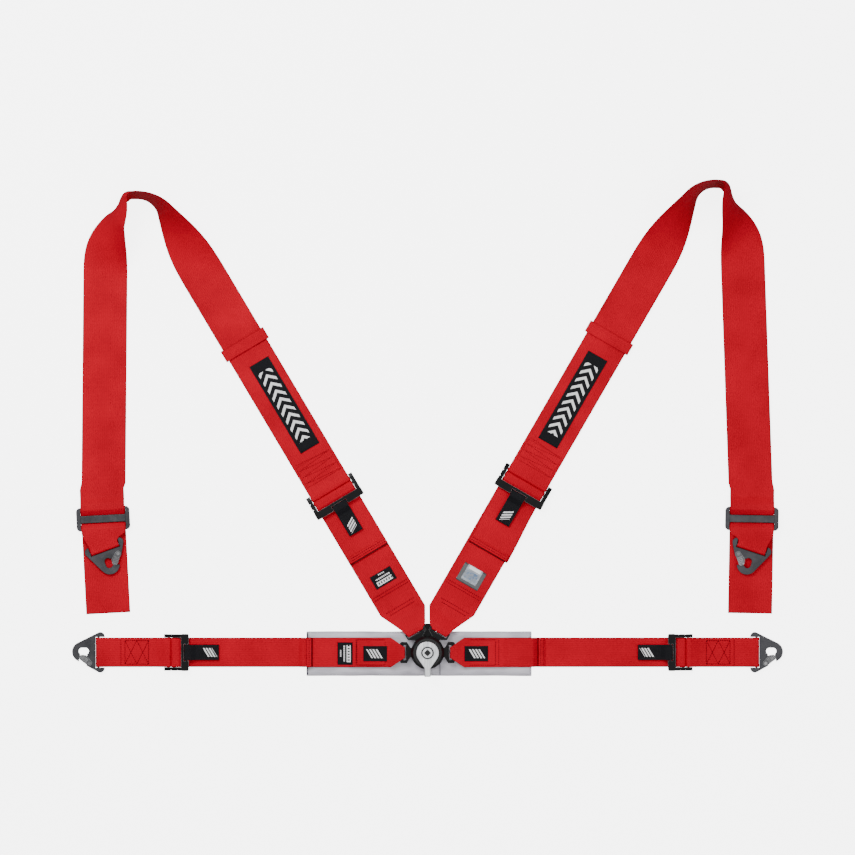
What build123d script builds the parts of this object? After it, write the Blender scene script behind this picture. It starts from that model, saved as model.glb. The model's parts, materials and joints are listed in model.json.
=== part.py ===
from build123d import *
import os
from math import atan2, cos, degrees, radians, sin, tan

# Racing harness laid out flat, seen from above: +Z up, origin at the buckle's axis on the surface it lies on.
# +Y runs up between the shoulder belts, and the lap belts run along -X and +X. Millimetres.

# Webbing
LAP_WIDTH = 50.0
SHOULDER_WIDTH = 75.0
WEB = 2.0
AIR = 0.3
LAYER_1 = 1.05
LAYER_2 = LAYER_1 + WEB + 0.2
LAYER_3 = LAYER_2 + WEB + 0.2
FOLD = 3.2

# Bars that webbing wraps round
BAR_R = 2.0
WRAP = BAR_R + AIR + WEB / 2

# Buckle
PAD_LEFT, PAD_RIGHT, PAD_BOTTOM, PAD_TOP = -205.7, 177.0, -40.3, 35.5
PAD_THICKNESS = 5.0
BUCKLE_R = 28.0
BASE_BOTTOM = 5.2
BASE_TOP = 8.2
TONGUE_BOTTOM, TONGUE_TOP = 13.0, 15.5
ROOF_BOTTOM, ROOF_TOP = 22.0, 24.5
PIN_CIRCLE_R = 20.5
PIN_R = 1.9
SPINDLE_R = 5.0
CAM_R = 18.4
LEVER_BOTTOM, LEVER_TOP = 25.0, 29.0
LEVER_R, LEVER_TIP, STEM_WIDTH = 19.3, 40.6, 10.4
SCREW_CIRCLE_R = 22.5
SCREW_ANGLES = (30, 150, 270)
# The base's shield: how far up it reaches, and half its width there
SHIELD_REACH = 49.0
SHIELD_TOP = 9.0

# Shoulder belts
LEFT_SLANT, RIGHT_SLANT = 30.7, 30.0

# Tilt-lock adjuster, measured out from its cross bar
ADJUSTER_LENGTH = 42.0
CROSS_BAR_LENGTH = 13.0
CROSS_BAR_BOTTOM, CROSS_BAR_TOP = 8.4, 11.8
GRIP_BAR_AT = 25.5
FIXED_BAR_AT = 34.5
FLANGE_HOLE_R = 0.8
BAR_Z = LAYER_1 + WRAP
TAB = 1.5
TAB_WIDTH = 26.0
TAB_LENGTH = 51.0

# Three-bar slide
SLIDE_LENGTH, SLIDE_WIDTH = 40.0, 91.0
SLIDE_BOTTOM = LAYER_3 + WEB / 2 + AIR
SLIDE_THICKNESS = 3.5
CENTRE_BAR = 12.7
END_BAR = 5.0
SLIDE_Y = 227.0

# Snap hook, measured out from the bar in its webbing window
PLATE = 3.0
LAP_HOOK_AT = 559.0
SHOULDER_HOOK_AT = 51.0
SHOULDER_HOOK_ANGLE = 17.0
HOOK_WIDTH = 50.0

UP = Vector(0, 0, 1)
LEFT, RIGHT = Vector(-1, 0, 0), Vector(1, 0, 0)


def heading(angle_from_y):
    """Horizontal direction, turned from +Y towards +X."""
    return Vector(sin(radians(angle_from_y)), cos(radians(angle_from_y)), 0)


def side_view(direction, origin=Vector(0, 0, 0)):
    """Upright plane along a belt: x runs out along it and y is up."""
    return Plane(origin=origin, x_dir=direction, z_dir=direction.cross(UP))


def plan_view(direction, origin=Vector(0, 0, 0)):
    """Level plane along a belt: x runs out along it."""
    return Plane(origin=origin, x_dir=direction, z_dir=UP)


def ribbon(view, points, width, bend=FOLD, thickness=WEB):
    """Add webbing whose side view follows the points."""
    with BuildSketch(view) as section:
        with BuildLine():
            FilletPolyline(*points, radius=bend)
        trace(line_width=thickness)
    extrude(section.sketch, amount=width / 2, both=True)


def trim_to_outline(view, points):
    """Keep what lies inside an outline in plan."""
    with BuildSketch(view) as outline:
        with BuildLine():
            Polyline(*points, close=True)
        make_face()
    extrude(outline.sketch, amount=100, both=True, mode=Mode.INTERSECT)


def upright_cylinder(x, y, radius, bottom, top, mode=Mode.ADD):
    with BuildSketch(Plane.XY.offset(bottom)) as disc:
        with Locations((x, y)):
            Circle(radius)
    extrude(disc.sketch, amount=top - bottom, mode=mode)


def save(piece, label):
    piece.part.label = label
    export_step(piece.part, f"parts/{label}.step")


os.makedirs("parts", exist_ok=True)

# Belts: name, direction out of the buckle, strap width, adjuster place, loose tail's end
BELTS = {
    "left_lap": (LEFT, LAP_WIDTH, 405.5, 197.0),
    "right_lap": (RIGHT, LAP_WIDTH, 408.5, 188.5),
    "left_shoulder": (heading(-LEFT_SLANT), SHOULDER_WIDTH, 287.5, 195.0),
    "right_shoulder": (heading(RIGHT_SLANT), SHOULDER_WIDTH, 304.5, 200.0),
}
PAD_ENDS = {"left_lap": -PAD_LEFT, "right_lap": PAD_RIGHT}

# ---- buckle ----

with BuildPart() as buckle_pad:
    with BuildSketch():
        with Locations(((PAD_LEFT + PAD_RIGHT) / 2, (PAD_BOTTOM + PAD_TOP) / 2)):
            RectangleRounded(PAD_RIGHT - PAD_LEFT, PAD_TOP - PAD_BOTTOM, 5)
    extrude(amount=PAD_THICKNESS)
    fillet(buckle_pad.edges().group_by(Axis.Z)[-1], 1.5)
save(buckle_pad, "buckle_pad")

with BuildPart() as buckle_base:
    with BuildSketch(Plane.XZ):
        with BuildLine():
            Polyline(
                (0, BASE_BOTTOM), (BUCKLE_R, BASE_BOTTOM), (BUCKLE_R, BASE_TOP), (24.2, BASE_TOP),
                (24.2, TONGUE_BOTTOM - 0.2), (17.5, TONGUE_BOTTOM - 0.2), (17.5, BASE_TOP),
                (8.5, BASE_TOP), (8.5, 16.5), (SPINDLE_R + 0.05, 16.5), (SPINDLE_R + 0.05, BASE_TOP),
                (0, BASE_TOP), close=True,
            )
        make_face()
    revolve(axis=Axis.Z)
    for angle in SCREW_ANGLES:
        x = SCREW_CIRCLE_R * cos(radians(angle))
        y = SCREW_CIRCLE_R * sin(radians(angle))
        upright_cylinder(x, y, 1.6, BASE_BOTTOM, TONGUE_BOTTOM, Mode.SUBTRACT)
        upright_cylinder(x, y, 3.0, BASE_BOTTOM, BASE_BOTTOM + 1.8, Mode.SUBTRACT)
    upright_cylinder(-PIN_CIRCLE_R, 0, 2.25, BASE_BOTTOM + 1, TONGUE_BOTTOM, Mode.SUBTRACT)
    edges_outside = buckle_base.edges().filter_by(GeomType.CIRCLE).sort_by(SortBy.LENGTH)[-1]
    chamfer(edges_outside, 0.6)
    # A shield that fills the gap between the two shoulder tongues
    with BuildSketch(Plane.XY.offset(BASE_BOTTOM)):
        with BuildLine():
            Polyline((-20, 18.8), (-SHIELD_TOP, SHIELD_REACH), (SHIELD_TOP, SHIELD_REACH), (20, 18.8), close=True)
        make_face()
    extrude(amount=BASE_TOP - BASE_BOTTOM)
save(buckle_base, "buckle_base")

with BuildPart() as buckle_housing:
    with BuildSketch(Plane.XZ):
        with BuildLine():
            Polyline(
                (SPINDLE_R + 0.1, ROOF_BOTTOM), (25.4, ROOF_BOTTOM), (25.4, BASE_TOP), (BUCKLE_R, BASE_TOP),
                (BUCKLE_R, 19.5), (24.0, ROOF_TOP), (SPINDLE_R + 0.1, ROOF_TOP), close=True,
            )
        make_face()
    revolve(axis=Axis.Z)
    for direction, width, start, tail in BELTS.values():
        with BuildSketch(plan_view(direction, Vector(0, 0, TONGUE_BOTTOM - 0.3))):
            with Locations((26.5, 0)):
                Rectangle(9, 16.8)
        extrude(amount=TONGUE_TOP - TONGUE_BOTTOM + 0.6, mode=Mode.SUBTRACT)
    for angle in SCREW_ANGLES:
        x = SCREW_CIRCLE_R * cos(radians(angle))
        y = SCREW_CIRCLE_R * sin(radians(angle))
        upright_cylinder(x, y, 2.6, TONGUE_BOTTOM - 0.1, ROOF_BOTTOM + 0.5)
        upright_cylinder(x, y, 1.5, TONGUE_BOTTOM - 0.1, 19.0, Mode.SUBTRACT)
save(buckle_housing, "buckle_housing")

with BuildPart() as base_screws:
    for angle in SCREW_ANGLES:
        x = SCREW_CIRCLE_R * cos(radians(angle))
        y = SCREW_CIRCLE_R * sin(radians(angle))
        upright_cylinder(x, y, 2.7, BASE_BOTTOM + 0.2, BASE_BOTTOM + 1.7)
        upright_cylinder(x, y, 1.45, BASE_BOTTOM + 1.7, 18.5)
save(base_screws, "base_screws")

with BuildPart() as spindle:
    upright_cylinder(0, 0, SPINDLE_R, BASE_TOP + 0.3, LEVER_TOP)
save(spindle, "spindle")

with BuildPart() as cam_plate:
    upright_cylinder(0, 0, CAM_R, 17.0, 18.5)
    upright_cylinder(0, 0, 8.0, 18.5, 18.9)
    upright_cylinder(0, 0, SPINDLE_R, 16.0, 20.0, Mode.SUBTRACT)
save(cam_plate, "cam_plate")

PIN_BELTS = ("right_lap", "left_shoulder", "right_shoulder")
with BuildPart() as lock_pins:
    for belt in PIN_BELTS:
        place = BELTS[belt][0] * PIN_CIRCLE_R
        upright_cylinder(place.X, place.Y, PIN_R, TONGUE_TOP + AIR, 19.0)
        upright_cylinder(place.X, place.Y, 3.0, 18.8, 19.8)
save(lock_pins, "lock_pins")

with BuildPart() as pin_springs:
    for belt in PIN_BELTS:
        place = BELTS[belt][0] * PIN_CIRCLE_R
        upright_cylinder(place.X, place.Y, 2.6, 19.8, ROOF_BOTTOM)
        upright_cylinder(place.X, place.Y, 2.0, 19.8, ROOF_BOTTOM, Mode.SUBTRACT)
save(pin_springs, "pin_springs")

with BuildPart() as lever_spring:
    upright_cylinder(0, 0, 9.0, 19.2, ROOF_BOTTOM)
    upright_cylinder(0, 0, 6.5, 19.2, ROOF_BOTTOM, Mode.SUBTRACT)
save(lever_spring, "lever_spring")

with BuildPart() as release_lever:
    with BuildSketch(Plane.XY.offset(LEVER_BOTTOM)):
        Circle(LEVER_R)
        with Locations((0, -24.5)):
            Circle(STEM_WIDTH / 2)
        make_hull()
        with Locations((0, -(24.5 + LEVER_TIP) / 2)):
            Rectangle(STEM_WIDTH, LEVER_TIP - 24.5)
    extrude(amount=LEVER_TOP - LEVER_BOTTOM)
    fillet(release_lever.edges().group_by(Axis.Z)[-1], 1.2)
    with BuildSketch(Plane.XY.offset(LEVER_TOP - 0.5)):
        with Locations((0, -32)):
            SlotOverall(14, 3, rotation=90)
    extrude(amount=1.3)
    upright_cylinder(0, 0, 11.0, LEVER_TOP - 1.2, LEVER_TOP, Mode.SUBTRACT)
    upright_cylinder(0, 0, SPINDLE_R, LEVER_BOTTOM, LEVER_TOP, Mode.SUBTRACT)
save(release_lever, "release_lever")

with BuildPart() as lever_cap:
    upright_cylinder(0, 0, 10.8, LEVER_TOP, LEVER_TOP + 1.0)
    upright_cylinder(0, 0, 10.8, LEVER_TOP - 1.2, LEVER_TOP)
    upright_cylinder(0, 0, SPINDLE_R, LEVER_TOP - 1.2, LEVER_TOP, Mode.SUBTRACT)
    fillet(lever_cap.edges().group_by(Axis.Z)[-1], 0.6)
save(lever_cap, "lever_cap")

# ---- belt tongues ----

TONGUE_END = 46.5
SLOT_FROM, SLOT_TO = 36.6, 40.5
for belt, (direction, width, start, tail) in BELTS.items():
    shoulder = width > LAP_WIDTH
    slot_half = 15.3 if shoulder else 12.5
    with BuildPart() as tongue:
        with BuildSketch(plan_view(direction, Vector(0, 0, TONGUE_BOTTOM))):
            with BuildLine():
                Polyline(
                    (15.8, -6.5), (17.3, -8), (29, -8), (35, -18), (44.5, -18), (46.5, -16), (46.5, 16),
                    (44.5, 18), (35, 18), (29, 8), (17.3, 8), (15.8, 6.5), close=True,
                )
            make_face()
            with Locations(((SLOT_FROM + SLOT_TO) / 2, 0)):
                Rectangle(SLOT_TO - SLOT_FROM, 2 * slot_half, mode=Mode.SUBTRACT)
            with Locations((PIN_CIRCLE_R, 0)):
                Circle(2.25, mode=Mode.SUBTRACT)
        extrude(amount=TONGUE_TOP - TONGUE_BOTTOM)
    save(tongue, f"{belt}_tongue")

with BuildPart() as tongue_rivet:
    upright_cylinder(-PIN_CIRCLE_R, 0, 2.2, BASE_BOTTOM + 1, TONGUE_TOP + 1.2)
    upright_cylinder(-PIN_CIRCLE_R, 0, 3.2, TONGUE_TOP, TONGUE_TOP + 1.2)
save(tongue_rivet, "left_lap_tongue_rivet")

# ---- inner and lower webbing, from the tongue to the adjuster, and its loose tail ----

STRAND_LOW = TONGUE_BOTTOM - AIR - WEB / 2
STRAND_HIGH = TONGUE_TOP + AIR + WEB / 2
LOOP_AT = SLOT_TO - AIR - WEB / 2
HEM_LENGTH = 11.0
for belt, (direction, width, start, tail) in BELTS.items():
    shoulder = width > LAP_WIDTH
    view = side_view(direction)
    # Heights where it lies near the buckle, on the pad or on the ground, and where it steps down
    low = LAYER_1 if shoulder else PAD_THICKNESS + AIR + WEB / 2
    step = 140.0 if shoulder else PAD_ENDS[belt] + 2.0
    run_height = low if shoulder else low + 0.05
    with BuildPart() as webbing:
        points = [(126, low), (66, low), (47.5, STRAND_LOW), (LOOP_AT, STRAND_LOW), (LOOP_AT, STRAND_HIGH),
                  (48.5, STRAND_HIGH), (72, low + WEB + 0.2), (128, low + WEB + 0.2), (136, low)]
        bends = [20, 6, 1.6, 1.6, 6, 20, 6, 6]
        if not shoulder:
            points += [(step, low), (step + 6, LAYER_1)]
            bends += [3, 3]
        points.append((start + 0.5, LAYER_1))
        ribbon(view, points, width, bends)
        half = width / 2
        if shoulder:
            # The inner edge runs along the middle between the two shoulder belts.
            inner = 1 if direction.X > 0 else -1
            outline = [(30, 14.5), (41, 14.5), (44.5, 22.0), (71, half + 1), (1000, half + 1),
                       (1000, -half - 1), (93, -half - 1), (55, -19.5), (41, -14.5), (30, -14.5)]
            outline = [(x, inner * y) for x, y in outline]
        else:
            outline = [(30, 9), (39, 9), (62, half + 1), (1000, half + 1),
                       (1000, -half - 1), (62, -half - 1), (39, -9), (30, -9)]
        trim_to_outline(plan_view(direction), outline)
        if belt == "left_lap":
            ribbon(view, [(tail, low + 2.4), (step + 3, low + 2.4), (step + 11, LAYER_2), (start + 0.5, LAYER_2)],
                   width, 4)
            hem_height = low + 2.4 + WEB / 2
        else:
            ribbon(view, [(tail, LAYER_2), (start - 30, LAYER_2), (start + 0.5, LAYER_2)], width, 0)
            hem_height = LAYER_2 + WEB / 2
        with BuildSketch(plan_view(direction, Vector(0, 0, hem_height - 0.2))):
            with Locations((tail + HEM_LENGTH / 2, 0)):
                Rectangle(HEM_LENGTH, width)
        extrude(amount=2.0)
    save(webbing, f"{belt}_{'lower' if shoulder else 'inner'}_webbing")

# ---- adjusters ----

for belt, (direction, width, start, tail) in BELTS.items():
    overhang = 8.0 if width > LAP_WIDTH else 6.5
    half = width / 2
    across = Plane(origin=direction * start, x_dir=direction, z_dir=direction.cross(UP))
    side_out = half + 0.4
    side_outline = [(0, 3.5), (2, 1.0), (29, 0.9), (37, 2.4), (42, 2.9), (42, 5.8), (36, 7.9),
                    (14, 11.8), (0, 11.8)]
    with BuildPart() as frame:
        for sign in (-1, 1):
            with BuildSketch(across.offset(sign * side_out)):
                with BuildLine():
                    Polyline(*side_outline, close=True)
                make_face()
                with Locations((GRIP_BAR_AT, BAR_Z)):
                    Circle(BAR_R + 0.05, mode=Mode.SUBTRACT)
            extrude(amount=3.0 * sign)
            # The side's top edge is turned outwards, and its far end is turned out over its whole height.
            with BuildSketch(across.offset(sign * (side_out + 2.9))):
                with BuildLine():
                    Polyline((6, 9.7), (6, 11.8), (14, 11.8), (36, 7.9), (42, 5.8), (42, 2.9), (36, 2.5),
                             (36, 5.8), (14, 9.7), close=True)
                make_face()
            extrude(amount=sign * (overhang - 3.8))
            hole_at = half + 2.6 + overhang / 2
            with BuildSketch(plan_view(direction, direction * start)):
                with Locations((18.5, sign * hole_at), (29.5, sign * hole_at)):
                    Circle(FLANGE_HOLE_R)
            extrude(amount=CROSS_BAR_TOP, mode=Mode.SUBTRACT)
        with BuildSketch(plan_view(direction, direction * start + UP * CROSS_BAR_BOTTOM)):
            with Locations((CROSS_BAR_LENGTH / 2, 0)):
                RectangleRounded(CROSS_BAR_LENGTH, width + 2 * overhang, 2.5)
            with Locations((0, 0)):
                Rectangle(4, TAB_WIDTH + 3, mode=Mode.SUBTRACT)
            with Locations((6.7, 0)):
                Rectangle(3.4, TAB_WIDTH + 3, mode=Mode.SUBTRACT)
        extrude(amount=CROSS_BAR_TOP - CROSS_BAR_BOTTOM)
        with BuildSketch(across):
            with Locations((FIXED_BAR_AT, BAR_Z)):
                Circle(BAR_R)
        extrude(amount=side_out + 0.5, both=True)
    save(frame, f"{belt}_adjuster_frame")

    with BuildPart() as grip_bar:
        with BuildSketch(across):
            with Locations((GRIP_BAR_AT, BAR_Z)):
                Circle(BAR_R)
        extrude(amount=side_out + 2.9, both=True)
    save(grip_bar, f"{belt}_grip_bar")

    with BuildPart() as bight:
        far = GRIP_BAR_AT + WRAP
        ribbon(across, [(1.7, LAYER_1), (far, LAYER_1), (far, LAYER_1 + 2 * WRAP),
                        (17, LAYER_1 + 2 * WRAP), (5, LAYER_2), (1.7, LAYER_2)], width, [3.2, 3.2, 4, 3])
    save(bight, f"{belt}_webbing_bight")

    with BuildPart() as tab:
        ribbon(across, [(-TAB_LENGTH, 5.4), (-8, 5.4), (-2, 7.1), (6.9, 7.1), (6.9, 12.9), (-3, 12.9),
                        (-12, 7.2), (-TAB_LENGTH, 7.2)], TAB_WIDTH, [3, 3, 1.0, 1.0, 4, 4], TAB)
    save(tab, f"{belt}_pull_tab")


# ---- snap hooks ----

EYE_U, EYE_V, EYE_LENGTH, EYE_WIDTH = 25.0, 2.0, 17.3, 11.3
EYE_WALL_R = 17.0
LOBE_U, LOBE_V, LOBE_R = -3.0, 27.0, 7.5
WINDOW_FAR = 5.0
RIVET_U, RIVET_V = 15.5, -18.5
# The gate's leaf: the middle of its free end, and its ridges' distances from the rivet
LEAF_END_U, LEAF_END_V = 27.8, -8.8
LEAF_RIDGES = (6.4, 9.2, 12.0, 14.8, 17.6)


def snap_hook(belt, view, hand):
    """Plate, gate, rivet and spring. The view's x runs out from the bar, and hand says which side the gate is on."""
    centre = view.origin

    def level(height):
        return Plane(origin=centre + UP * height, x_dir=view.x_dir, z_dir=UP)

    with BuildPart() as plate:
        with BuildSketch(level(-PLATE / 2)):
            with Locations((28, hand * 1)):
                Circle(EYE_WALL_R)
            with Locations((LOBE_U, LOBE_V), (LOBE_U, -LOBE_V)):
                Circle(LOBE_R)
            make_hull()
            with Locations(((WINDOW_FAR - 14) / 2, 0)):
                Rectangle(WINDOW_FAR + 14, HOOK_WIDTH + 2, mode=Mode.SUBTRACT)
            with Locations((EYE_U, hand * EYE_V)):
                SlotOverall(EYE_LENGTH, EYE_WIDTH, mode=Mode.SUBTRACT)
            with BuildLine():
                Polyline((19.3, hand * -0.5), (20.3, hand * -24), (33.3, hand * -24), (33.3, hand * -13.5),
                         (31.0, hand * -2.5), close=True)
            make_face(mode=Mode.SUBTRACT)
            with Locations((RIVET_U, hand * RIVET_V)):
                Circle(1.6, mode=Mode.SUBTRACT)
        extrude(amount=PLATE)
        rims = plate.faces().filter_by(Axis.Z).sort_by(Axis.Z)
        chamfer(rims[-1].outer_wire().edges() + rims[0].outer_wire().edges(), 0.5)
        with BuildSketch(Plane(origin=centre, x_dir=view.x_dir, z_dir=view.y_dir)):
            Circle(BAR_R)
        extrude(amount=HOOK_WIDTH / 2 + 1.5, both=True)
    save(plate, f"{belt}_hook_plate")

    with BuildPart() as gate:
        with BuildSketch(level(PLATE / 2 + 0.3)):
            with Locations((RIVET_U, hand * RIVET_V)):
                Circle(4.8)
            with Locations((LEAF_END_U, hand * LEAF_END_V)):
                Circle(4.9)
            with Locations((22.6, hand * -8.2)):
                Circle(3.6)
            make_hull()
            with Locations((RIVET_U, hand * RIVET_V)):
                Circle(1.66, mode=Mode.SUBTRACT)
        extrude(amount=1.5)
        # Ridges for the thumb
        leaf_u, leaf_v = LEAF_END_U - RIVET_U, hand * (LEAF_END_V - RIVET_V)
        leaf_length = (leaf_u**2 + leaf_v**2) ** 0.5
        with BuildSketch(level(PLATE / 2 + 1.7)):
            for ridge in LEAF_RIDGES:
                share = ridge / leaf_length
                with Locations((RIVET_U + leaf_u * share, hand * RIVET_V + leaf_v * share)):
                    Rectangle(1.2, 7.6, rotation=degrees(atan2(leaf_v, leaf_u)))
        extrude(amount=0.6)
        with BuildSketch(level(-PLATE / 2)):
            with Locations((25.5, hand * -11.5)):
                Circle(2.3)
            with Locations((28.0, hand * -8.0)):
                Circle(2.2)
            make_hull()
        extrude(amount=PLATE + 0.5)
    save(gate, f"{belt}_hook_gate")

    with BuildPart() as rivet:
        with BuildSketch(level(-PLATE / 2 - 1.9)):
            with Locations((RIVET_U, hand * RIVET_V)):
                Circle(1.6)
        extrude(amount=PLATE + 4.6)
        with BuildSketch(level(PLATE / 2 + 2.0)):
            with Locations((RIVET_U, hand * RIVET_V)):
                Circle(2.8)
        extrude(amount=0.9)
        with BuildSketch(level(-PLATE / 2 - 2.3)):
            with Locations((RIVET_U, hand * RIVET_V)):
                Circle(2.8)
        extrude(amount=0.6)
    save(rivet, f"{belt}_hook_rivet")

    with BuildPart() as spring:
        with BuildSketch(level(-PLATE / 2 - 1.5)):
            with Locations((RIVET_U, hand * RIVET_V)):
                Circle(2.9)
                Circle(2.0, mode=Mode.SUBTRACT)
        extrude(amount=1.4)
    save(spring, f"{belt}_gate_spring")


# ---- outer lap webbing and lap hooks ----

for belt in ("left_lap", "right_lap"):
    direction, width, start, tail = BELTS[belt]
    fixed_bar = start + FIXED_BAR_AT
    with BuildPart() as outer_webbing:
        near = fixed_bar - WRAP
        far = LAP_HOOK_AT + WRAP
        top = LAYER_1 + 2 * WRAP
        ribbon(side_view(direction),
               [(500.5, LAYER_1), (far, LAYER_1), (far, top), (LAP_HOOK_AT - 4, top), (LAP_HOOK_AT - 20, LAYER_2),
                (fixed_bar + 20, LAYER_2), (fixed_bar + 4, top), (near, top), (near, LAYER_1), (499.5, LAYER_1)],
               width, [3.2, 3.2, 6, 6, 6, 6, 3.2, 3.2])
    save(outer_webbing, f"{belt}_outer_webbing")
    snap_hook(belt, plan_view(direction, direction * LAP_HOOK_AT + UP * BAR_Z), -1 if belt == "left_lap" else 1)

# ---- shoulder belts above the adjusters ----

# Side: hand, slide's place in x, lean of the strap above it, lean below it, loop radius
SIDES = {
    "left": (-1, -551.0, 0.5, -3.0, 55.0),
    "right": (1, 551.0, 2.0, -1.0, 47.0),
}
TWIST_IN = 200.0
TWIST_OUT = 170.0
FLAT_ROLL, APEX_ROLL, FULL_ROLL = 0.0, 82.0, 180.0
INNER_EDGE_RAMP = 75.0
STATION = 10.0
STRIP = LAYER_2
SEWN_END = 62.0


def smooth(x):
    x = min(max(x, 0.0), 1.0)
    return x * x * (3 - 2 * x)


def roll_at(s):
    """Turn of the webbing about its own line, s millimetres past the loop's apex."""
    into = smooth((s + TWIST_IN) / TWIST_IN)
    out = smooth(s / TWIST_OUT)
    return FLAT_ROLL + APEX_ROLL * into + (FULL_ROLL - APEX_ROLL) * out


def loop_planes(hand, slant, slide_x, lean, radius, first, last):
    """Planes across the webbing from the flat slanted run, round the loop and down the leg."""
    up_run = Vector(-sin(radians(slant)), cos(radians(slant)), 0)
    down_run = Vector(-sin(radians(lean)), -cos(radians(lean)), 0)
    slide = Vector(-abs(slide_x), SLIDE_Y, 0)
    # The two runs meet at a corner, which the loop's arc rounds.
    turn = 180 - slant - lean
    reach = (slide.X * down_run.Y - slide.Y * down_run.X) / (up_run.X * down_run.Y - up_run.Y * down_run.X)
    corner = up_run * reach
    setback = radius * tan(radians(turn / 2))
    arc_start = reach - setback
    apex = arc_start + radius * radians(90 - slant)
    arc_end = arc_start + radius * radians(turn)
    end = arc_end + (corner + down_run * setback - slide).length - last
    centre = corner - up_run * setback + Vector(-cos(radians(slant)), -sin(radians(slant)), 0) * radius
    stations = [first]
    at = apex - TWIST_IN
    while at < apex + TWIST_OUT + 1:
        stations.append(at)
        at += STATION
    stations.append(end)
    places = []
    rolls = []
    for s in stations:
        if s < arc_start:
            place = up_run * s
        elif s < arc_end:
            facing = radians(slant) + (s - arc_start) / radius
            place = centre + Vector(cos(facing), sin(facing), 0) * radius
        else:
            place = corner + down_run * (setback + s - arc_end)
        roll = radians(roll_at(s - apex))
        # On the leg the webbing turns about its inner edge, which stays straight.
        inward = SHOULDER_WIDTH / 2 * (1 - abs(cos(roll))) * smooth((s - apex) / INNER_EDGE_RAMP)
        places.append(place + Vector(inward, 0, 0))
        rolls.append(roll)
    planes = []
    for k, roll in enumerate(rolls):
        along = (places[min(k + 1, len(places) - 1)] - places[max(k - 1, 0)]).normalized()
        width_way = along.cross(UP) * cos(roll) + UP * sin(roll)
        place = places[k] + UP * (STRIP + SHOULDER_WIDTH / 2 * sin(roll))
        planes.append(Plane(origin=mirrored(place, hand), x_dir=mirrored(width_way, hand),
                            z_dir=mirrored(along, hand)))
    return planes


def mirrored(v, hand):
    return Vector(-hand * v.X, v.Y, v.Z)


def loft_between(planes, widths):
    sections = []
    for plane, width in zip(planes, widths):
        with BuildSketch(plane) as section:
            Rectangle(width, WEB)
        sections.append(section.sketch)
    loft(sections, ruled=True)


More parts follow.
